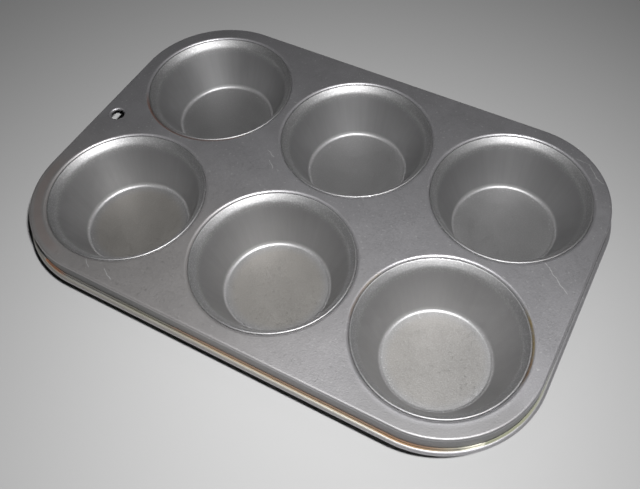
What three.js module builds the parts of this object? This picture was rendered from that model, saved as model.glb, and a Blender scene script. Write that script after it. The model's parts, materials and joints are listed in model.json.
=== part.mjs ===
// A six-cup muffin pan, put together the way the pressed steel pan is.
// The frame sheet is the deck with its skirt, and it has six holes with turned-down collars.
// Each cup is drawn from its own disc. Its rim folds round a collar's flange, as a lock seam.
// The skirt's bottom edge is rolled outwards and up round a stiffening wire.
// Millimetres, +Z up. The pan stands on its six cup floors at z = 0, centred on x = 0, y = 0.

import * as THREE from "three";

// The sheets
const sheet = 0.5; // thickness of the frame and of the cups
const fit_gap = 0.3; // air between two pieces that meet

// The layout
const column_names = ["left", "middle", "right"];
const row_names = ["front", "back"];
const cup_pitch = 76; // from one cup axis to the next, along and across
const mouth_land = 5.8; // between the mouths of two neighbouring cups
const pan_height = 23.7; // table to deck

// A cup, along the middle of its sheet
const seam_drop = 0.2; // deck down to the cup's lip
const lip_bend = 0.3;
const flare_slope = THREE.MathUtils.degToRad(48);
const flare_width = 2.7; // lip to the knee below it, measured across
const knee_bend = 6;
const floor_width = 23.4; // axis to the corner of floor and wall
const floor_bend = 2;

// The collar round each hole of the frame
const shoulder_bend = 0.85;
const collar_depth = 4; // deck down to the flange

// The edge of the frame
const rim_land = 7.85; // a corner cup's mouth to the outside of the skirt
const skirt_bend = 0.8;
const skirt_lean_drop = 7; // deck down to where the skirt leans in to the bead
const bead_drop = 10.3; // deck down to the middle of the bead
const bead_offset = 0.7; // the middle of the bead, outside the middle of the skirt
const wire_radius = 0.8;

// The hole that the pan hangs by
const hang_hole_radius = 3.3;
const hang_hole_bend = 0.6;
const hang_hole_lip = 0.4; // straight wall below the bend
const hang_hole_inset = 10.5; // from the end of the pan

// How finely the round shapes are cut
const cup_segments = 32;
const hang_hole_segments = 16;
const corner_steps = 8;
const bead_steps = 9;
const wire_segments = 8;

// Sizes that follow from the ones above
const half_sheet = sheet / 2;
const mouth_radius = (cup_pitch - mouth_land) / 2;
const leg_radius = mouth_radius - half_sheet;
const collar_radius = leg_radius + sheet + fit_gap;
const hem_radius = (cup_pitch - fit_gap - sheet) / 2;
const flange_edge = hem_radius - half_sheet - fit_gap;
const deck_middle = pan_height - half_sheet;
const flange_height = pan_height - collar_depth;
const skirt_radius = mouth_radius + rim_land - half_sheet;
const curl_radius = wire_radius + fit_gap + half_sheet;
const bead_radius = skirt_radius + bead_offset;
const bead_height = pan_height - bead_drop;
const row_middle = (row_names.length - 1) / 2;
const column_middle = (column_names.length - 1) / 2;
const pan_half_length = column_middle * cup_pitch + bead_radius + curl_radius + half_sheet;

const coated_steel = { color: 0x8c8b8c, roughness: 0.42, metalness: 0.55 };
const bare_wire = { color: 0x77736d, roughness: 0.5, metalness: 0.8 };

function point(across, height) {
  return new THREE.Vector2(across, height);
}

// The middle line of a bent sheet. Each corner is a point with a bend radius, cut into steps.
function bent_line(corners) {
  const line = [corners[0].at];
  for (let i = 1; i < corners.length - 1; i += 1) {
    const { at, bend, steps } = corners[i];
    const back = corners[i - 1].at.clone().sub(at).normalize();
    const ahead = corners[i + 1].at.clone().sub(at).normalize();
    const half_angle = Math.acos(THREE.MathUtils.clamp(back.dot(ahead), -1, 1)) / 2;
    const to_centre = back.clone().add(ahead).normalize();
    const centre = at.clone().addScaledVector(to_centre, bend / Math.sin(half_angle));
    const start = at.clone().addScaledVector(back, bend / Math.tan(half_angle));
    const way = Math.sign(ahead.cross(back));
    const step_turn = (way * (Math.PI - 2 * half_angle)) / Math.max(steps, 1);
    for (let step = 0; step <= steps; step += 1) {
      line.push(start.clone().rotateAround(centre, step * step_turn));
    }
  }
  line.push(corners[corners.length - 1].at);
  return line;
}

// Both faces of a sheet whose middle follows the line: first along its left, then back along its right.
function sheet_outline(line) {
  const left = [];
  const right = [];
  for (let i = 0; i < line.length; i += 1) {
    const before = line[i].clone().sub(line[Math.max(i - 1, 0)]);
    const after = line[Math.min(i + 1, line.length - 1)].clone().sub(line[i]);
    const first = (before.length() > 0 ? before : after).clone().normalize();
    const second = (after.length() > 0 ? after : before).clone().normalize();
    const mitre = first.clone().add(second).multiplyScalar(half_sheet / (1 + first.dot(second)));
    const sideways = point(-mitre.y, mitre.x);
    left.push(line[i].clone().add(sideways));
    right.push(line[i].clone().sub(sideways));
  }
  return [...left, ...right.reverse()];
}

function mesh_of_faces(name, faces, finish) {
  const geometry = new THREE.BufferGeometry();
  geometry.setAttribute("position", new THREE.Float32BufferAttribute(faces.flat(2), 3));
  geometry.computeVertexNormals();
  const mesh = new THREE.Mesh(geometry, new THREE.MeshStandardMaterial(finish));
  mesh.name = name;
  return mesh;
}

// Faces between two closed loops of points
function add_band(faces, first, second) {
  for (let i = 0; i < first.length; i += 1) {
    const next = (i + 1) % first.length;
    faces.push([first[i], second[i], second[next]]);
    faces.push([first[i], second[next], first[next]]);
  }
}

function add_bands(faces, loops) {
  for (let i = 1; i < loops.length; i += 1) {
    add_band(faces, loops[i - 1], loops[i]);
  }
}

// A flat face inside an outer loop and round the holes, facing up or down
function add_flat(faces, outer, holes, height, facing) {
  const outline = (loop) => loop.map(([x, y]) => point(x, y));
  const corners = [outer, ...holes].flat();
  for (const triangle of THREE.ShapeUtils.triangulateShape(outline(outer), holes.map(outline))) {
    const [a, b, c] = triangle.map((index) => [corners[index][0], corners[index][1], height]);
    const area = (b[0] - a[0]) * (c[1] - a[1]) - (b[1] - a[1]) * (c[0] - a[0]);
    faces.push(area * facing > 0 ? [a, b, c] : [a, c, b]);
  }
}

function circle_loop(centre, radius, height, segments) {
  const loop = [];
  for (let i = 0; i < segments; i += 1) {
    const angle = (2 * Math.PI * i) / segments;
    loop.push([centre.x + radius * Math.cos(angle), centre.y + radius * Math.sin(angle), height]);
  }
  return loop;
}

// Once round the pan at a set distance outside the axes of the corner cups
function rim_loop(reach, height) {
  const loop = [];
  for (let corner = 0; corner < 4; corner += 1) {
    const side_x = corner === 0 || corner === 3 ? 1 : -1;
    const side_y = corner < 2 ? 1 : -1;
    for (let step = 0; step <= corner_steps; step += 1) {
      const angle = (Math.PI / 2) * (corner + step / corner_steps);
      const x = side_x * column_middle * cup_pitch + reach * Math.cos(angle);
      const y = side_y * row_middle * cup_pitch + reach * Math.sin(angle);
      loop.push([x, y, height]);
    }
  }
  return loop;
}

function cup_places() {
  const places = [];
  row_names.forEach((row_name, row) => {
    column_names.forEach((column_name, column) => {
      const x = (column - column_middle) * cup_pitch;
      const y = (row - row_middle) * cup_pitch;
      places.push({ name: `cup_${row_name}_${column_name}`, x, y });
    });
  });
  return places;
}

// Both faces of an edge that bends away from the deck, from where the bend starts
function edge_outline(line) {
  return sheet_outline(line).slice(1, -1);
}

// From the deck round the shoulder, down the collar and out along its flange
function collar_outline() {
  return edge_outline(
    bent_line([
      { at: point(cup_pitch / 2, deck_middle) },
      { at: point(collar_radius, deck_middle), bend: shoulder_bend, steps: 2 },
      { at: point(collar_radius, flange_height), bend: 0, steps: 0 },
      { at: point(flange_edge, flange_height) },
    ]),
  );
}

// From the deck down into the hole that the pan hangs by
function hang_hole_outline() {
  const wall = hang_hole_radius + half_sheet;
  return edge_outline(
    bent_line([
      { at: point(wall + 2 * hang_hole_bend, deck_middle) },
      { at: point(wall, deck_middle), bend: hang_hole_bend, steps: 2 },
      { at: point(wall, deck_middle - hang_hole_bend - hang_hole_lip) },
    ]),
  );
}

// From the deck over the edge, down the skirt, and round the wire to the raw edge beside the skirt
function rim_outline() {
  const lean = point(skirt_radius, pan_height - skirt_lean_drop);
  const centre = point(bead_radius, bead_height);
  const to_centre = centre.clone().sub(lean);
  const lean_angle = to_centre.angle() - Math.asin(curl_radius / to_centre.length());
  const first_angle = lean_angle - Math.PI / 2;
  const stop_short = Math.acos(wire_radius / (curl_radius + half_sheet));
  const wrap = 2 * Math.PI - stop_short;
  const line = bent_line([
    { at: point(mouth_radius, deck_middle) },
    { at: point(skirt_radius, deck_middle), bend: skirt_bend, steps: 2 },
    { at: lean },
  ]);
  for (let step = 0; step <= bead_steps; step += 1) {
    const angle = first_angle + (wrap * step) / bead_steps;
    const across = centre.x + curl_radius * Math.cos(angle);
    line.push(point(across, centre.y + curl_radius * Math.sin(angle)));
  }
  return edge_outline(line);
}

function make_frame_sheet() {
  const faces = [];
  const rim = rim_outline().map(({ x, y }) => rim_loop(x, y));
  add_bands(faces, rim);
  const hang_hole = point(hang_hole_inset - pan_half_length, 0);
  const holes = cup_places().map((centre) =>
    collar_outline().map(({ x, y }) => circle_loop(centre, x, y, cup_segments)),
  );
  holes.push(hang_hole_outline().map(({ x, y }) => circle_loop(hang_hole, x, y, hang_hole_segments)));
  for (const loops of holes) {
    add_bands(faces, loops);
  }
  add_flat(faces, rim.at(0), holes.map((loops) => loops.at(-1)), pan_height, 1);
  add_flat(faces, rim.at(-1), holes.map((loops) => loops.at(0)), pan_height - sheet, -1);
  return mesh_of_faces("frame_sheet", faces, coated_steel);
}

// From the middle of the floor up the wall and the flare, over the lip, and round the collar's flange
function cup_outline() {
  const lip_turn = Math.PI / 2 + flare_slope;
  const lip_centre = pan_height - seam_drop - half_sheet - lip_bend;
  const lip_corner = point(leg_radius, lip_centre + lip_bend * Math.tan(lip_turn / 2));
  const knee = point(leg_radius - flare_width, lip_corner.y - flare_width * Math.tan(flare_slope));
  const step_over = sheet + fit_gap;
  return sheet_outline(
    bent_line([
      { at: point(0, half_sheet) },
      { at: point(floor_width, half_sheet), bend: floor_bend, steps: 2 },
      { at: knee, bend: knee_bend, steps: 1 },
      { at: lip_corner, bend: lip_bend, steps: 2 },
      { at: point(leg_radius, flange_height - step_over), bend: 0, steps: 0 },
      { at: point(hem_radius, flange_height - step_over), bend: 0, steps: 0 },
      { at: point(hem_radius, flange_height + step_over), bend: 0, steps: 0 },
      { at: point(collar_radius + half_sheet + fit_gap, flange_height + step_over) },
    ]),
  );
}

function make_cup({ name, x, y }) {
  const geometry = new THREE.LatheGeometry(cup_outline().reverse(), cup_segments);
  geometry.rotateX(Math.PI / 2);
  geometry.translate(x, y, 0);
  const mesh = new THREE.Mesh(geometry, new THREE.MeshStandardMaterial(coated_steel));
  mesh.name = name;
  return mesh;
}

function make_rim_wire() {
  const loops = [];
  for (let i = 0; i <= wire_segments; i += 1) {
    const angle = (-2 * Math.PI * (i % wire_segments)) / wire_segments;
    const reach = bead_radius + wire_radius * Math.cos(angle);
    loops.push(rim_loop(reach, bead_height + wire_radius * Math.sin(angle)));
  }
  const faces = [];
  add_bands(faces, loops);
  return mesh_of_faces("rim_wire", faces, bare_wire);
}

const pan = new THREE.Group();
pan.name = "muffin_pan";
pan.add(make_frame_sheet());
for (const place of cup_places()) {
  pan.add(make_cup(place));
}
pan.add(make_rim_wire());

export default pan;
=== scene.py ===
import json
import math

import bmesh
import bpy
from mathutils import Matrix, Vector

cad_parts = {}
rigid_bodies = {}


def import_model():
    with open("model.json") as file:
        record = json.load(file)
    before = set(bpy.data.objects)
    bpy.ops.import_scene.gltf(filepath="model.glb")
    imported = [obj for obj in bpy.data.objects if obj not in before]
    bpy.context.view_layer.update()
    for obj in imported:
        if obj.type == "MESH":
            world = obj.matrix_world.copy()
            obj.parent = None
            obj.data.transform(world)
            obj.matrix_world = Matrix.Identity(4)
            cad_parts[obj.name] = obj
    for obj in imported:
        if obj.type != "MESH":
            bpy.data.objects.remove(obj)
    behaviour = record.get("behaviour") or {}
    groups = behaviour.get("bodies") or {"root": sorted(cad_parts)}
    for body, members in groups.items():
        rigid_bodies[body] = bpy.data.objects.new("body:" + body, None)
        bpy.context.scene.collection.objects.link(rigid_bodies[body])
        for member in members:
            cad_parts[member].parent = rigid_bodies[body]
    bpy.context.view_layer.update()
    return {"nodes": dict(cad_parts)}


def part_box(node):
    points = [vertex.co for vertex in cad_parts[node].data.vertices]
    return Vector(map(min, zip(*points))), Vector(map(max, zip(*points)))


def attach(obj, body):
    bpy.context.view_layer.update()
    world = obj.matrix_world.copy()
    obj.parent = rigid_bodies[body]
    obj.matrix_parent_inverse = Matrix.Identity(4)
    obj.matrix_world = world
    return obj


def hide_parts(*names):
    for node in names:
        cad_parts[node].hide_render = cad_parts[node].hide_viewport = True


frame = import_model()

# Frame sheet
# One steel sheet, pressed into a flat deck with collared holes, a rounded edge and a deep skirt.
# The skirt's foot is rolled outwards and up into a bead, whose raw edge shows beside the skirt.
mm = 0.001
sheet = 0.5 * mm
fit_gap = 0.3 * mm
mouth_radius = 35.1 * mm
shoulder_bend = 1.05 * mm
collar_depth = 4 * mm
collar_bend = 0.3 * mm
rim_land = 7.85 * mm
skirt_bend = 0.8 * mm
skirt_lean_drop = 7 * mm
bead_drop = 10.3 * mm
bead_offset = 0.7 * mm
wire_radius = 0.8 * mm
hang_hole_radius = 3.3 * mm
hang_hole_bend = 0.6 * mm
hang_hole_lip = 0.4 * mm
hang_hole_inset = 10.5 * mm
curl_short = math.radians(8)
flat_margin = 0.25 * mm
level_margin = 0.01 * mm
merge_distance = 0.001 * mm
smooth_angle = math.radians(40)
round_steps = 128
corner_steps = 32
hole_steps = 48
bend_steps = 8
bead_steps = 40

cup_axes = {}
for name in frame["nodes"]:
    if name.startswith("cup_"):
        low, high = (Vector(corner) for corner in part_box(name))
        cup_axes[name] = Vector(((low.x + high.x) / 2, (low.y + high.y) / 2, 0))
pitch = cup_axes["cup_front_right"].x - cup_axes["cup_front_middle"].x
rim_places = ("back_right", "back_left", "front_left", "front_right")
rim_corners = [cup_axes[f"cup_{place}"] for place in rim_places]
sheet_low, sheet_high = (Vector(corner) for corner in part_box("frame_sheet"))
deck_top = sheet_high.z
deck_middle = deck_top - sheet / 2
collar_radius = mouth_radius + sheet / 2 + fit_gap
hem_radius = (pitch - fit_gap - sheet) / 2
flange_edge = hem_radius - sheet / 2 - fit_gap
flange_height = deck_top - collar_depth
skirt_radius = mouth_radius + rim_land - sheet / 2
curl_radius = wire_radius + fit_gap + sheet / 2
bead_radius = skirt_radius + bead_offset
bead_height = deck_top - bead_drop


def at(across, height):
    """A point of a section, which is drawn upright beside its axis."""
    return Vector((across, 0, height))


def bent_line(corners):
    """Points of a sheet's middle line: straight runs with a round bend at each inner corner.

    A corner is (point, bend radius). The two ends have no bend.
    """
    line = [corners[0][0]]
    for (before, _), (corner, radius), (after, _) in zip(corners, corners[1:], corners[2:]):
        back = (before - corner).normalized()
        ahead = (after - corner).normalized()
        half = back.angle(ahead) / 2
        centre = corner + (back + ahead).normalized() * radius / math.sin(half)
        start = corner + back * radius / math.tan(half) - centre
        turn = start.rotation_difference(corner + ahead * radius / math.tan(half) - centre)
        for step in range(bend_steps + 1):
            part = Matrix.Rotation(turn.angle * step / bend_steps, 3, turn.axis)
            line.append(centre + part @ start)
    line.append(corners[-1][0])
    return line


def start_piece(name):
    """A new piece with an empty mesh, open in edit mode."""
    bpy.ops.object.select_all(action="DESELECT")
    bpy.ops.mesh.primitive_plane_add(size=mm)
    piece = bpy.context.object
    piece.name = name
    piece.data.name = name
    bpy.ops.object.mode_set(mode="EDIT")
    bpy.ops.mesh.select_all(action="SELECT")
    bpy.ops.mesh.delete(type="VERT")
    return piece


def draw_section(line, foot):
    """Draws a line of edges in the piece being edited.

    A plane is merged to a point, and the point is extruded along the line.
    """
    bpy.ops.mesh.select_mode(type="VERT")
    bpy.ops.mesh.select_all(action="DESELECT")
    bpy.ops.mesh.primitive_plane_add(size=mm)
    bpy.ops.mesh.merge(type="CENTER")
    bpy.ops.transform.translate(value=foot + line[0])
    for here, there in zip(line, line[1:]):
        bpy.ops.mesh.extrude_region_move(TRANSFORM_OT_translate={"value": there - here})
    bpy.ops.mesh.select_linked()


def spin_section(line, foot, steps):
    """Draws a section beside an axis and turns it once round the axis."""
    draw_section(line, foot)
    bpy.ops.mesh.spin(steps=steps, angle=2 * math.pi, center=foot, axis=(0, 0, 1))
    bpy.ops.mesh.select_linked()
    bpy.ops.mesh.remove_doubles(threshold=merge_distance)


def sweep_section(line, corners):
    """Draws a section at the first corner and takes it round the pan.

    It turns at each corner and then runs along a side.
    """
    draw_section(line, corners[0])
    for corner, following in zip(corners, corners[1:] + corners[:1]):
        bpy.ops.mesh.spin(steps=corner_steps, angle=-math.pi / 2, center=corner, axis=(0, 0, 1))
        bpy.ops.mesh.extrude_region_move(TRANSFORM_OT_translate={"value": following - corner})
    bpy.ops.mesh.select_linked()
    bpy.ops.mesh.remove_doubles(threshold=merge_distance)


def select_edges(piece, wanted):
    """Selects the edges of the piece being edited for which a test holds."""
    bpy.ops.mesh.select_mode(type="EDGE")
    bpy.ops.mesh.select_all(action="DESELECT")
    mesh = bmesh.from_edit_mesh(piece.data)
    for edge in mesh.edges:
        edge.select_set(wanted(edge))
    bmesh.update_edit_mesh(piece.data)


def finish_sheet(piece):
    """Gives a surface the sheet's thickness and smooth bends."""
    bpy.ops.mesh.select_all(action="SELECT")
    bpy.ops.mesh.normals_make_consistent(inside=False)
    bpy.ops.object.mode_set(mode="OBJECT")
    wall = piece.modifiers.new("thickness", "SOLIDIFY")
    wall.thickness = sheet
    wall.offset = 0
    wall.use_even_offset = True
    bpy.ops.object.modifier_apply(modifier=wall.name)
    bpy.ops.object.shade_smooth_by_angle(angle=smooth_angle)


lean = at(skirt_radius, deck_top - skirt_lean_drop)
bead_centre = at(bead_radius, bead_height)
to_bead = bead_centre - lean
lean_angle = math.atan2(to_bead.z, to_bead.x) - math.asin(curl_radius / to_bead.length)
curl_start = lean_angle - math.pi / 2
curl_turn = 2 * math.pi - math.acos(wire_radius / (curl_radius + sheet / 2)) - curl_short
rim_line = bent_line([
    (at(skirt_radius - skirt_bend - flat_margin, deck_middle), 0),
    (at(skirt_radius, deck_middle), skirt_bend),
    (lean, 0),
])
for step in range(bead_steps + 1):
    angle = curl_start + curl_turn * step / bead_steps
    rim_line.append(bead_centre + curl_radius * at(math.cos(angle), math.sin(angle)))

collar_line = bent_line([
    (at(collar_radius + shoulder_bend + flat_margin, deck_middle), 0),
    (at(collar_radius, deck_middle), shoulder_bend),
    (at(collar_radius, flange_height), collar_bend),
    (at(flange_edge, flange_height), 0),
])

hang_hole_wall = hang_hole_radius + sheet / 2
hang_hole_line = bent_line([
    (at(hang_hole_wall + hang_hole_bend + flat_margin, deck_middle), 0),
    (at(hang_hole_wall, deck_middle), hang_hole_bend),
    (at(hang_hole_wall, deck_middle - hang_hole_bend - hang_hole_lip), 0),
])
hang_hole_axis = Vector((sheet_low.x + hang_hole_inset, 0, 0))

frame_sheet = start_piece("frame_sheet_pressing")
sweep_section(rim_line, rim_corners)

# Along the front and the right the raw edge isn't rolled home and stands up as a low flap.
# It is raised in two steps that lean out a little. The second ends in a notch at the right corner.
flap_start = -91 * mm
flap_step = 1.3 * mm
flap_notch = 108 * mm
flap_back = 60 * mm
flap_lift = 0.85 * mm
flap_lean = 1.0006
edge_height = rim_line[-1].z


def on_raw_edge(edge, start, end):
    """Whether an edge is on the raw edge at the front or the right, between two places along x."""
    for corner in edge.verts:
        place = corner.co
        in_reach = place.y < flap_back and start < place.x < end
        if not in_reach or abs(place.z - edge_height) >= level_margin:
            return False
    return edge.is_boundary


for start, end in ((flap_start, sheet_high.x), (flap_start + flap_step, flap_notch)):
    select_edges(frame_sheet, lambda edge: on_raw_edge(edge, start, end))
    bpy.ops.mesh.extrude_region_move(TRANSFORM_OT_translate={"value": (0, 0, flap_lift)})
    bpy.ops.transform.resize(value=(flap_lean, flap_lean, 1), center_override=(0, 0, 0))
    edge_height += flap_lift


def on_deck(edge):
    """Whether an edge is an open edge at the deck's level."""
    above = deck_middle - level_margin
    return edge.is_boundary and all(corner.co.z > above for corner in edge.verts)


# The deck fills the flat between the rim, the collars and the hang hole.
for axis in cup_axes.values():
    spin_section(collar_line, axis, round_steps)
spin_section(hang_hole_line, hang_hole_axis, hole_steps)
select_edges(frame_sheet, on_deck)
bpy.ops.mesh.fill(use_beauty=True)
finish_sheet(frame_sheet)


class Shade:
    """A socket of a material's nodes. Arithmetic on it adds Math nodes."""

    def __init__(self, tree, socket=None):
        self.tree = tree
        self.socket = socket

    def node(self, kind, inputs, output=0, stops=None, **settings):
        """An output of a new node. Its settings come first, then the values or links of its inputs."""
        made = self.tree.nodes.new(kind)
        for name, value in settings.items():
            setattr(made, name, value)
        if stops:
            ramp = made.color_ramp
            while len(ramp.elements) < len(stops):
                ramp.elements.new(1)
            for element, (place, colour) in zip(ramp.elements, stops):
                element.position = place
                element.color = (*colour, 1)
        for key, value in inputs.items():
            if isinstance(value, Shade):
                self.tree.links.new(value.socket, made.inputs[key])
            else:
                made.inputs[key].default_value = value
        return Shade(self.tree, made.outputs[output])

    def math(self, operation, first, second=0.0):
        return self.node("ShaderNodeMath", {0: first, 1: second}, operation=operation)

    def __add__(self, other):
        return self.math("ADD", self, other)

    __radd__ = __add__

    def __sub__(self, other):
        return self.math("SUBTRACT", self, other)

    def __rsub__(self, other):
        return self.math("SUBTRACT", other, self)

    def __mul__(self, other):
        return self.math("MULTIPLY", self, other)

    __rmul__ = __mul__

    def __truediv__(self, other):
        return self.math("DIVIDE", self, other)

    def __pow__(self, other):
        return self.math("POWER", self, other)

    def __abs__(self):
        return self.math("ABSOLUTE", self)

    def at_least(self, other):
        return self.math("MAXIMUM", self, other)

    def at_most(self, other):
        return self.math("MINIMUM", self, other)

    def nearest(self):
        """The nearest whole number."""
        return self.math("ROUND", self)

    def rise(self, low, high):
        """0 up to low, 1 from high on, smooth between. Falls instead where low is above high."""
        inputs = {"Value": self, "From Min": low, "From Max": high}
        return self.node("ShaderNodeMapRange", inputs, interpolation_type="SMOOTHSTEP")

    def band(self, low, high, soft):
        """1 between low and high, falling to 0 over a soft edge on both sides."""
        return self.rise(low - soft, low) * self.rise(high + soft, high)

    def mix(self, first, second):
        """The first colour where this is 0 and the second where it is 1."""
        first, second = (side if isinstance(side, Shade) else (*side, 1) for side in (first, second))
        inputs = {0: self, 6: first, 7: second}
        return self.node("ShaderNodeMix", inputs, output=2, data_type="RGBA", clamp_factor=True)


def new_material(name):
    """An empty Principled material.

    Gives the material, its shader, the place on the piece, and that place's x, y and z in mm.
    """
    material = bpy.data.materials.new(name)
    material.use_nodes = True
    tree = material.node_tree
    shader = tree.nodes["Principled BSDF"]
    start = Shade(tree)
    place = start.node("ShaderNodeTexCoord", {}, output="Object")
    x, y, z = (start.node("ShaderNodeSeparateXYZ", {0: place}, output=axis) / mm for axis in "XYZ")
    return material, shader, place, (x, y, z)


def noise(place, size, detail=2.0, roughness=0.5):
    """Soft noise whose lumps are about the given size across."""
    inputs = {"Vector": place, "Scale": 1 / size, "Detail": detail, "Roughness": roughness}
    return place.node("ShaderNodeTexNoise", inputs)


def feed(shader, name, shade):
    """Links a shade to one of a shader's inputs."""
    shade.tree.links.new(shade.socket, shader.inputs[name])


def distance(across, along):
    return (across ** 2 + along ** 2) ** 0.5


corner_axis = rim_corners[0] / mm
pitch_mm = pitch / mm


def beside(cup, x, y):
    """A place's x and y from the axis of one cup, in mm."""
    axis = cup_axes[cup] / mm
    return x - axis.x, y - axis.y


def beside_nearest_cup(x, y):
    """A place's x and y from the axis of the nearest cup, in mm, with y mirrored in the front row."""
    column = (x / pitch_mm).nearest().at_most(1).at_least(-1)
    return x - column * pitch_mm, abs(y) - corner_axis.y


# Pale bare steel: for scratches and flecks, and also for painted light and painted glints.
bare_metal_and_light = (0.8, 0.8, 0.8)
coat_roughness = 0.54
grain_size = 0.5 * mm
fleck_size = 0.8 * mm
speck_size = 1.2 * mm
blotch_size = 14 * mm
relief_depth = 0.05 * mm


def coated_steel(place, dark, light, sandy):
    """The grey baked-on coat over steel: its colour, its roughness and its relief.

    It has a fine grain and faint blotches, and bright flecks and specks where it is sandy.
    """
    grain = noise(place, grain_size, detail=2, roughness=0.6)
    blotch = noise(place, blotch_size, detail=4, roughness=0.6)
    fleck = noise(place, fleck_size, detail=1).rise(0.58, 0.75) * sandy
    speck = noise(place, speck_size, detail=0).rise(0.74, 0.82) * sandy
    colour = (grain * 0.6 + blotch * 0.4).mix(dark, light)
    colour = (fleck * 0.3 + speck * 0.4).mix(colour, bare_metal_and_light)
    uneven = (grain - 0.5) * 0.12 + (blotch - 0.5) * 0.08 - fleck * 0.1
    inputs = {"Height": grain + fleck * 0.15, "Strength": 1.0, "Distance": relief_depth}
    relief = place.node("ShaderNodeBump", inputs)
    return colour, coat_roughness + uneven, relief


deck_light = (0.56, 0.552, 0.572)
deck_dark = (0.41, 0.404, 0.419)
# Greys of painted shade, for the skirt and for the deck's front right corner.
skirt_shade_grey = (0.2, 0.2, 0.2)
deck_shade_grey = (0.3, 0.295, 0.295)
browned_grey = (0.5, 0.475, 0.455)
bloom_tan = (0.52, 0.43, 0.4)
oil_yellow = (0.5, 0.38, 0.16)
oil_brown = (0.38, 0.22, 0.09)
rust_red = (0.35, 0.12, 0.05)

# Heights and distances from an axis are taken from the pressing, in mm.
# Where a mark on the deck fades in or out is given in mm from the pan's middle or a cup's axis.
deck_level = deck_top / mm
bead_level = bead_height / mm
bead_reach = bead_radius / mm
skirt_face = (skirt_radius + sheet / 2) / mm
seam = (collar_radius - sheet / 2) / mm
shoulder_edge = (collar_radius + shoulder_bend) / mm

frame_coat, shader, place, (x, y, z) = new_material("frame_coat")
colour, roughness, relief = coated_steel(place, deck_dark, deck_light, 1)
patches = noise(place, 8 * mm, detail=5, roughness=0.65)
past_corner_x = (abs(x) - corner_axis.x).at_least(0)
past_corner_y = (abs(y) - corner_axis.y).at_least(0)
reach = distance(past_corner_x, past_corner_y)
cup_x, cup_y = beside_nearest_cup(x, y)
shoulder = distance(cup_x, cup_y).rise(shoulder_edge + 0.3, shoulder_edge - 0.5)

# The coat has browned towards the front left. The skirt is darkened with painted shade, most towards
# the front left, and the front right corner of the deck, nearest the lamp, is darkened with painted
# shade.
browned = y.rise(10, -60) * x.rise(90, -40)
colour = (browned * 0.6).mix(colour, browned_grey)
on_skirt = z.band(bead_level + 2.1, deck_level - 1.5, 0.7)
skirt_shade = reach.rise(skirt_face - 0.45, skirt_face - 0.15) * on_skirt
colour = (skirt_shade * (0.75 + x.rise(0, -60) * 0.25)).mix(colour, skirt_shade_grey)
right_x, right_y = beside("cup_front_right", x, y)
right_ring = distance(right_x, right_y)
on_top = z.rise(deck_level - 1.2, deck_level - 0.5)
deck_corner_shade = right_ring.rise(36, 39) * right_y.rise(0, -26) * right_x.rise(-40, 0) * on_top
colour = (deck_corner_shade * 0.75).mix(colour, deck_shade_grey)

# Baked-on oil has turned yellow and brown along the front right seam.
# Rust reddens the near seam of the back left cup, and the left corner has a faint bloom.
oil_right = right_x.rise(22, 30) * right_y.rise(-9, 0)
oil_left = right_x.rise(-31, -34) * right_y.band(-7, 12, 5)
oil_colour = right_y.rise(10, 2).mix(oil_yellow, oil_brown)
by_seam = right_ring.band(seam, seam + 0.5, 0.4) * patches.rise(0.3, 0.6)
colour = (by_seam * (oil_right + oil_left * 0.4) * 0.8).mix(colour, oil_colour)
back_x, back_y = beside("cup_back_left", x, y)
by_seam = distance(back_x, back_y).band(seam, seam + 0.8, 0.4)
colour = (by_seam * back_y.rise(-18, -28) * 0.6).mix(colour, rust_red)
left_x, left_y = beside("cup_front_left", x, y)
bloom = distance(left_x, left_y).band(38, 40, 1.5) * left_x.rise(-3, -14) * left_y.rise(10, -5)
colour = (bloom * 0.5).mix(colour, bloom_tan)


def scratch(across, along, start, end, width):
    """A fine line from start to end, given as points on the deck in mm."""
    run = Vector(end) - Vector(start)
    ahead = run.normalized()
    from_x = across - start[0]
    from_y = along - start[1]
    down_line = from_x * ahead.x + from_y * ahead.y
    off_line = abs(from_x * ahead.y - from_y * ahead.x)
    return off_line.rise(width, 0) * down_line.band(0, run.length, 0.5)


# Fine scratches on the deck, a little wavy.
scratch_width = 0.3
scratch_wave = 1.2
scratches = [
    ((94.8, 70.6), (101.1, 69.8)),
    ((101.1, 69.8), (105.7, 63.7)),
    ((105.7, 63.7), (109.4, 61.8)),
    ((101.1, 11.1), (113.6, 0.9)),
    ((-69.7, -73.9), (-66.4, -76.7)),
    ((-59.6, -74.3), (-54.2, -77.1)),
    ((-32.6, 12.6), (-28.5, 10.3)),
    ((-28.7, 7.7), (-25.3, 4.3)),
]
wave = (noise(place, 3 * mm) - 0.5) * scratch_wave
marks = 0
for start, end in scratches:
    marks = marks + scratch(x + wave, y + wave, start, end, scratch_width)
colour = (marks * patches.rise(0.25, 0.5)).mix(colour, bare_metal_and_light)

# The flap is rusty: brown, olive, tan and orange in turn, with a painted highlight by the notch,
# and greenish beyond it. Its top edge is darker: rust, and painted shade of the gap beside the skirt.
rust_brown = (0.22, 0.1, 0.05)
rust_tan = (0.28, 0.205, 0.13)
rust_orange = (0.32, 0.195, 0.1)
rust_and_shade_dark = (0.11, 0.055, 0.035)
olive = (0.16, 0.15, 0.115)
olive_grey = (0.155, 0.15, 0.14)
olive_and_shade_dark = (0.075, 0.072, 0.062)
olive_light = (0.24, 0.245, 0.17)
cream = (0.27, 0.26, 0.21)
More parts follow.
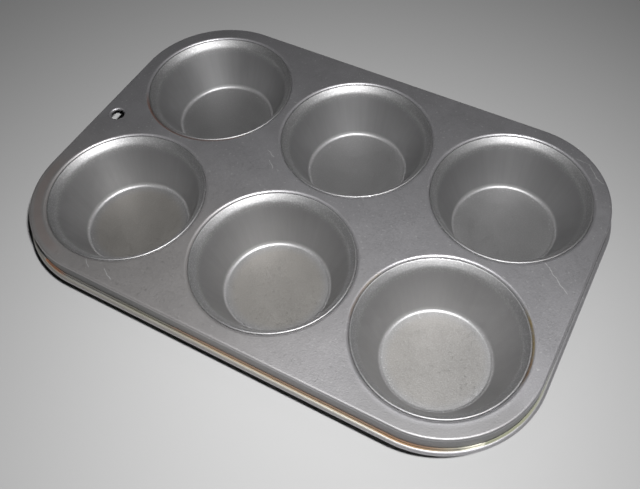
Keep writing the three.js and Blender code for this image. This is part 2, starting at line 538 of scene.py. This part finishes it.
# Pale of a painted highlight, on the flap by the notch and on the bead's top.
highlight_pale = (0.7, 0.68, 0.56)
rust_stops = [
    (0, rust_brown), (0.045, rust_brown),
    (0.07, olive_grey), (0.17, olive_grey),
    (0.24, olive), (0.33, olive),
    (0.44, rust_tan), (0.8, rust_tan),
    (0.83, rust_orange), (0.88, rust_orange),
    (0.92, rust_tan), (0.96, cream),
    (0.98, highlight_pale), (0.995, highlight_pale),
    (1, olive_light),
]
curl_top = (rim_line[-1].z + sheet / 2) / mm
flap_top = edge_height / mm
flap_reach = rim_line[-1].x / mm
along_flap = (x - flap_start / mm) / ((flap_notch - flap_start) / mm)
rust_colour = place.node("ShaderNodeValToRGB", {0: along_flap}, stops=rust_stops)
on_flap = reach.band(flap_reach - 0.2, flap_reach + 0.7, 0.1) * z.band(curl_top, flap_top, 0.1)
front = y.rise(-20, -55)
rust = on_flap * front * along_flap.rise(-0.01, 0)
top_edge = z.rise(flap_top - 0.1, flap_top) * along_flap.rise(0.95, 0.9)
edge_rust_and_shade = along_flap.band(0.08, 0.33, 0.03).mix(rust_and_shade_dark, olive_and_shade_dark)
colour = rust.mix(colour, (top_edge * 0.7).mix(rust_colour, edge_rust_and_shade))

# Along the front the bead's top has a painted highlight. Painted shade lies under it, painted light on
# its inner side.
under_bead_shade_black = (0.015, 0.015, 0.018)
bead_top = reach.rise(bead_reach + 0.2, bead_reach + 0.6) * z.rise(bead_level + 0.7, bead_level + 1.3)
bead_highlight = bead_top * front * x.rise(95, 55)
colour = (bead_highlight * (1 - rust) * 0.5).mix(colour, highlight_pale)
under_bead_shade = reach.rise(bead_reach - 0.2, bead_reach + 0.2) * z.rise(bead_level - 0.2, bead_level - 1)
colour = (under_bead_shade * 0.95).mix(colour, under_bead_shade_black)
painted_light_inside = reach.band(bead_reach - 2.4, bead_reach - 1.2, 0.1) * z.rise(bead_level + 2.6, bead_level + 2.1)
colour = painted_light_inside.mix(colour, bare_metal_and_light)
feed(shader, "Base Color", colour)
feed(shader, "Roughness", roughness + rust * 0.2 - shoulder * 0.07)
feed(shader, "Metallic", 0.9 - rust * 0.9 - painted_light_inside * 0.7 - shoulder * 0.1)
feed(shader, "Normal", relief)
frame_sheet.data.materials.append(frame_coat)
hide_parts("frame_sheet")
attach(frame_sheet, "root")

# Cups
# Each cup is drawn from a steel disc: a flat floor, a tapered wall and a flared mouth.
# Its rim turns over in a thin rounded lip and folds round the collar's flange, which locks it in.
lip_drop = 0.2 * mm
seam_gap = 0.05 * mm
lip_bend = 0.27 * mm
flare_slope = math.radians(48)
flare_width = 2.7 * mm
knee_bend = 6 * mm
floor_width = 23.4 * mm
floor_bend = 2 * mm
fold_bend = 0.3 * mm
cup_light = (0.56, 0.556, 0.56)
cup_dark = (0.41, 0.407, 0.41)
# Dark grey of painted shade on the cup walls.
wall_shade_dark = (0.2, 0.2, 0.202)
film_warm = (0.525, 0.5, 0.462)
film_grey = (0.465, 0.462, 0.463)
sand_size = 0.6 * mm
glint_size = 0.8 * mm
streak_count = 14
streak_length = 40

lip_turn = math.pi / 2 + flare_slope
lip_centre = deck_top - lip_drop - sheet / 2 - lip_bend
lip_radius = collar_radius - sheet - seam_gap
lip_corner = at(lip_radius, lip_centre + lip_bend * math.tan(lip_turn / 2))
knee = at(lip_radius - flare_width, lip_corner.z - flare_width * math.tan(flare_slope))
step_over = sheet + fit_gap
cup_line = bent_line([
    (at(0, sheet / 2), 0),
    (at(floor_width, sheet / 2), floor_bend),
    (knee, knee_bend),
    (lip_corner, lip_bend),
    (at(lip_radius, flange_height - step_over), fold_bend),
    (at(hem_radius, flange_height - step_over), fold_bend),
    (at(hem_radius, flange_height + step_over), fold_bend),
    (at(collar_radius + sheet / 2 + fit_gap, flange_height + step_over), 0),
])

cup_coat, shader, place, (x, y, z) = new_material("cup_coat")
floor = z.rise(1.4, 0.7)
wall = z.rise(1.2, 2.8) * z.rise(22, 17)
flare = z.rise(17, 20)
colour, roughness, relief = coated_steel(place, cup_dark, cup_light, 1 - wall)
cup_x, cup_y = beside_nearest_cup(x, y)
from_axis = distance(cup_x, cup_y)

# Painted shade darkens the walls, in faint upright streaks, and the flares a little.
# It is least in the front right cup, as painted light nearest the lamp.
around_x = cup_x / from_axis * streak_count
around_y = cup_y / from_axis * streak_count
around = place.node("ShaderNodeCombineXYZ", {0: around_x, 1: around_y, 2: z / streak_length})
streaks = noise(around, 1, detail=3)
painted_light_front_right = (x - y).rise(20, 120)
wall_shade_and_streaks = wall * (0.57 - 0.28 * painted_light_front_right + streaks * 0.15) + flare * 0.22
colour = wall_shade_and_streaks.mix(colour, wall_shade_dark)

# A baked-on film of fat covers the floors: warm in the front row, grey in the back.
film = floor * from_axis.rise(23, 18)
film_colour = (y.rise(10, -10) * x.rise(220, -20)).mix(film_grey, film_warm)
colour = (film * 0.8).mix(colour, film_colour)

# Flares and floors are sandy, and painted glints shine along the left edge of the front right floor.
sandy = z.rise(17, 21.5) + floor * (0.35 + painted_light_front_right * 0.5)
sand = noise(place, sand_size, detail=0).rise(0.45, 0.75) * sandy
colour = (sand * 0.25).mix(colour, bare_metal_and_light)
floor_edge = floor * from_axis.band(20.5, 22, 1) * cup_x.rise(8, -8)
painted_glints = noise(place, glint_size, detail=0).rise(0.7, 0.78) * floor_edge
colour = (painted_glints * painted_light_front_right * 0.8).mix(colour, bare_metal_and_light)
feed(shader, "Base Color", colour)
feed(shader, "Roughness", roughness + flare * 0.01)
feed(shader, "Normal", relief)
shader.inputs["Metallic"].default_value = 1

first_cup = start_piece("drawn_cup")
spin_section(cup_line, Vector(), round_steps)
finish_sheet(first_cup)
first_cup.data.materials.append(cup_coat)
for name, axis in cup_axes.items():
    bpy.ops.object.select_all(action="DESELECT")
    first_cup.select_set(True)
    bpy.context.view_layer.objects.active = first_cup
    bpy.ops.object.duplicate()
    cup = bpy.context.object
    cup.name = f"{name}_drawn"
    cup.data.name = cup.name
    cup.location = axis
    bpy.ops.object.transform_apply(location=True, rotation=False, scale=False)
    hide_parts(name)
    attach(cup, "root")
bpy.data.objects.remove(first_cup)

# Rim wire
# A ring of drawn steel wire, bent to the pan's outline and partly rusted.
# The skirt's foot is rolled round it.
wire_steps = 16
wire_grey = (0.3, 0.29, 0.28)
wire_rust = (0.13, 0.06, 0.03)

wire_line = []
for step in range(wire_steps + 1):
    angle = 2 * math.pi * step / wire_steps
    wire_line.append(bead_centre + wire_radius * at(math.cos(angle), math.sin(angle)))
rim_wire = start_piece("rim_wire_ring")
sweep_section(wire_line, rim_corners)
bpy.ops.mesh.select_all(action="SELECT")
bpy.ops.mesh.remove_doubles(threshold=merge_distance)
bpy.ops.mesh.normals_make_consistent(inside=False)
bpy.ops.object.mode_set(mode="OBJECT")
bpy.ops.object.shade_smooth()

wire_steel, shader, place, _ = new_material("wire_steel")
shader.inputs["Metallic"].default_value = 0.9
rust = noise(place, 3 * mm, detail=5, roughness=0.7).rise(0.45, 0.6)
feed(shader, "Base Color", rust.mix(wire_grey, wire_rust))
feed(shader, "Roughness", 0.4 + rust * 0.4)
rim_wire.data.materials.append(wire_steel)
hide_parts("rim_wire")
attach(rim_wire, "root")

# Table top
# A plain pale surface that the pan stands on.
# Beyond the lamp's reach, given in mm, it takes on the backdrop's grey.
table_width = 6000 * mm
table_grey = (0.5, 0.5, 0.5)
backdrop_grey = (0.22, 0.22, 0.22)
lit_reach = 260
backdrop_reach = 420


def shows_backdrop(start):
    """1 for what the camera sees straight or mirrored, and 0 for light that falls on a surface."""
    straight = start.node("ShaderNodeLightPath", {}, output="Is Camera Ray")
    mirrored = start.node("ShaderNodeLightPath", {}, output="Is Glossy Ray")
    return straight.at_least(mirrored)


bpy.ops.object.select_all(action="DESELECT")
bpy.ops.mesh.primitive_plane_add(size=table_width)
table = bpy.context.object
table.name = "table_top"
table_paint, shader, place, (x, y, _) = new_material("table_paint")
shader.inputs["Base Color"].default_value = (*table_grey, 1)
shader.inputs["Roughness"].default_value = 0.6
shader.inputs["Specular IOR Level"].default_value = 0
beyond = distance(x, y).rise(lit_reach, backdrop_reach) * shows_backdrop(place)
feed(shader, "Emission Color", beyond.mix((0, 0, 0), backdrop_grey))
shader.inputs["Emission Strength"].default_value = 1
table.data.materials.append(table_paint)

# Light
# One soft lamp beside the camera, as the photograph was lit, in a dim surround.
# The surround brightens towards the horizon, but only for what the camera sees straight or mirrored.
lamp_place = Vector((175, -160, 389)) * mm
lamp_aim = Vector((-18, -30, 0)) * mm
surround_white = (0.97, 0.98, 1)
surround_fill = 0.005
surround_dim = 0.015
horizon_glow = 0.2
horizon_top = 0.35

lamp_data = bpy.data.lights.new("key_lamp", "AREA")
lamp_data.shape = "DISK"
lamp_data.size = 20 * mm
lamp_data.energy = 0.8
lamp_data.spread = math.radians(100)
lamp = bpy.data.objects.new("key_lamp", lamp_data)
lamp.location = lamp_place
lamp.rotation_euler = (lamp_aim - lamp_place).to_track_quat("-Z", "Y").to_euler()
bpy.context.collection.objects.link(lamp)

surround = bpy.data.worlds.new("surround")
surround.use_nodes = True
background = surround.node_tree.nodes["Background"]
background.inputs["Color"].default_value = (*surround_white, 1)
start = Shade(surround.node_tree)
direction = start.node("ShaderNodeTexCoord", {}, output="Generated")
height = start.node("ShaderNodeSeparateXYZ", {0: direction}, output="Z")
seen = surround_dim + height.rise(horizon_top, 0) * horizon_glow
feed(background, "Strength", surround_fill + seen * shows_backdrop(start))
bpy.context.scene.world = surround

# Camera
# The photograph's viewpoint, found from the six seams: it looks down at the pan from the front right.
# The lens's axis meets the picture a little to the right of its middle.
view_azimuth = math.radians(30.9977)
view_elevation = math.radians(55.2922)
view_roll = math.radians(-3.2804)
view_distance = 315.205 * mm
view_target = Vector((21.2588 * mm, -19.1684 * mm, deck_top - lip_drop))
focal_pixels = 750.19
image_width = 640
pixels_right_of_middle = 18.404

camera_data = bpy.data.cameras.new("camera")
camera_data.sensor_fit = "HORIZONTAL"
camera_data.sensor_width = 36
camera_data.lens = camera_data.sensor_width * focal_pixels / image_width
camera_data.shift_x = -pixels_right_of_middle / image_width
camera_data.clip_start = 10 * mm
camera = bpy.data.objects.new("camera", camera_data)
bpy.context.collection.objects.link(camera)
right = Vector((math.cos(view_azimuth), math.sin(view_azimuth), 0))
towards = Vector((math.sin(view_azimuth), -math.cos(view_azimuth), 0))
back = towards * math.cos(view_elevation) + Vector((0, 0, math.sin(view_elevation)))
up = back.cross(right)
turned_right = right * math.cos(view_roll) + up * math.sin(view_roll)
turned_up = up * math.cos(view_roll) - right * math.sin(view_roll)
camera.rotation_euler = Matrix((turned_right, turned_up, back)).transposed().to_euler()
camera.location = view_target + back * view_distance
bpy.context.scene.camera = camera

bpy.context.scene.view_settings.view_transform = "Standard"
